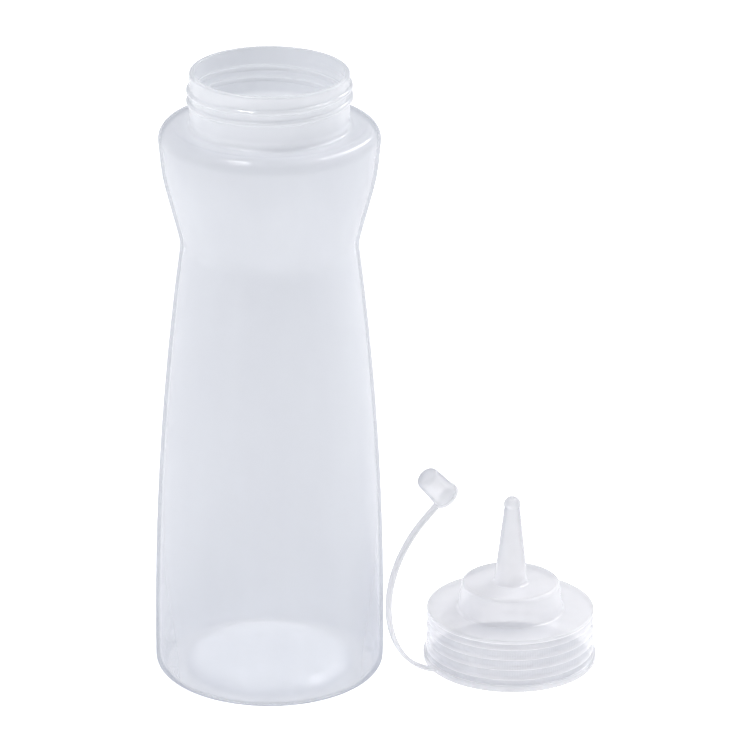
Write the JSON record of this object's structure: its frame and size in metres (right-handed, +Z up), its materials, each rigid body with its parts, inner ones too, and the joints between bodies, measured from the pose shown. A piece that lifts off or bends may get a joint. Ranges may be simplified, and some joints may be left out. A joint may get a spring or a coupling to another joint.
{
  "type": "sauce bottle",
  "caption": "Waisted translucent squeeze bottle with a wide threaded neck; its nozzle cap stands beside it with a strapped tip cap that flips over and closes the nozzle.",
  "frame": {"origin": "on the table, in the middle of the footprint of the bottle and the cap together", "axes": "+Z up the bottle's axis; +X from the bottle to the cap; +Y away from the viewer of the picture"},
  "size_m": [0.1424, 0.0734, 0.2015],
  "materials": {
    "bottle_ldpe": "blow-moulded natural LDPE, milky and see-through, satin gloss",
    "cap_ldpe": "injection-moulded natural LDPE, milky, satin gloss"
  },
  "bodies": {
    "bottle": {"bottle": "bottle_ldpe"},
    "cap": {"nozzle_cap": "cap_ldpe"},
    "strap_1": {"strap_1": "cap_ldpe"},
    "strap_2": {"strap_2": "cap_ldpe"},
    "strap_3": {"strap_3": "cap_ldpe"},
    "strap_4": {"strap_4": "cap_ldpe"},
    "strap_5": {"strap_5": "cap_ldpe"},
    "strap_6": {"strap_6": "cap_ldpe"},
    "strap_7": {"strap_7": "cap_ldpe"},
    "strap_8": {"strap_8": "cap_ldpe"},
    "tip_cap": {"tip_cap": "cap_ldpe"}
  },
  "joints": [
    {"name": "cap_lift", "type": "slide", "parent": "bottle", "child": "cap", "axis": [0, 0, 1], "range_m": [0, 0.21]},
    {"name": "strap_fold", "type": "hinge", "parent": "cap", "child": "strap_1", "pos_m": [0.01739, -0.00939, 0.0012], "axis": [-0.454, 0.891, 0], "range_deg": [0, 26.48], "stiffness_Nm_per_rad": 0.0159},
    {"name": "strap_bend_2", "type": "hinge", "parent": "strap_1", "child": "strap_2", "pos_m": [0.0107, -0.0128, 0.00537], "axis": [-0.454, 0.891, 0], "range_deg": [0, 6.88]},
    {"name": "strap_bend_3", "type": "hinge", "parent": "strap_2", "child": "strap_3", "pos_m": [0.00611, -0.01514, 0.01224], "axis": [-0.454, 0.891, 0], "range_deg": [-6.07, 0]},
    {"name": "strap_bend_4", "type": "hinge", "parent": "strap_3", "child": "strap_4", "pos_m": [0.00365, -0.01639, 0.02037], "axis": [-0.454, 0.891, 0], "range_deg": [-10.25, 0]},
    {"name": "strap_bend_5", "type": "hinge", "parent": "strap_4", "child": "strap_5", "pos_m": [0.00325, -0.01659, 0.02895], "axis": [-0.454, 0.891, 0], "range_deg": [-8.67, 0]},
    {"name": "strap_bend_6", "type": "hinge", "parent": "strap_5", "child": "strap_6", "pos_m": [0.00472, -0.01585, 0.03737], "axis": [-0.454, 0.891, 0], "range_deg": [0, 13.02]},
    {"name": "tip_press", "type": "hinge", "parent": "strap_6", "child": "strap_7", "pos_m": [0.00783, -0.01426, 0.04522], "axis": [-0.454, 0.891, 0], "range_deg": [0, 23.17], "stiffness_Nm_per_rad": 0.0241},
    {"name": "strap_bend_8", "type": "hinge", "parent": "strap_7", "child": "strap_8", "pos_m": [0.01233, -0.01197, 0.05216], "axis": [-0.454, 0.891, 0], "range_deg": [0, 9.95]},
    {"name": "tip_cap_bend", "type": "hinge", "parent": "strap_8", "child": "tip_cap", "pos_m": [0.01797, -0.00909, 0.05796], "axis": [-0.454, 0.891, 0], "range_deg": [-12.43, 0]}
  ],
  "couplings": [
    {"joint": "strap_bend_2", "follows": "strap_fold", "ratio": 0.25975},
    {"joint": "strap_bend_3", "follows": "strap_fold", "ratio": -0.22911},
    {"joint": "strap_bend_4", "follows": "strap_fold", "ratio": -0.38695},
    {"joint": "strap_bend_5", "follows": "tip_press", "ratio": -0.37395},
    {"joint": "strap_bend_6", "follows": "tip_press", "ratio": 0.56195},
    {"joint": "strap_bend_8", "follows": "tip_press", "ratio": 0.42934},
    {"joint": "tip_cap_bend", "follows": "tip_press", "ratio": -0.53622}
  ]
}
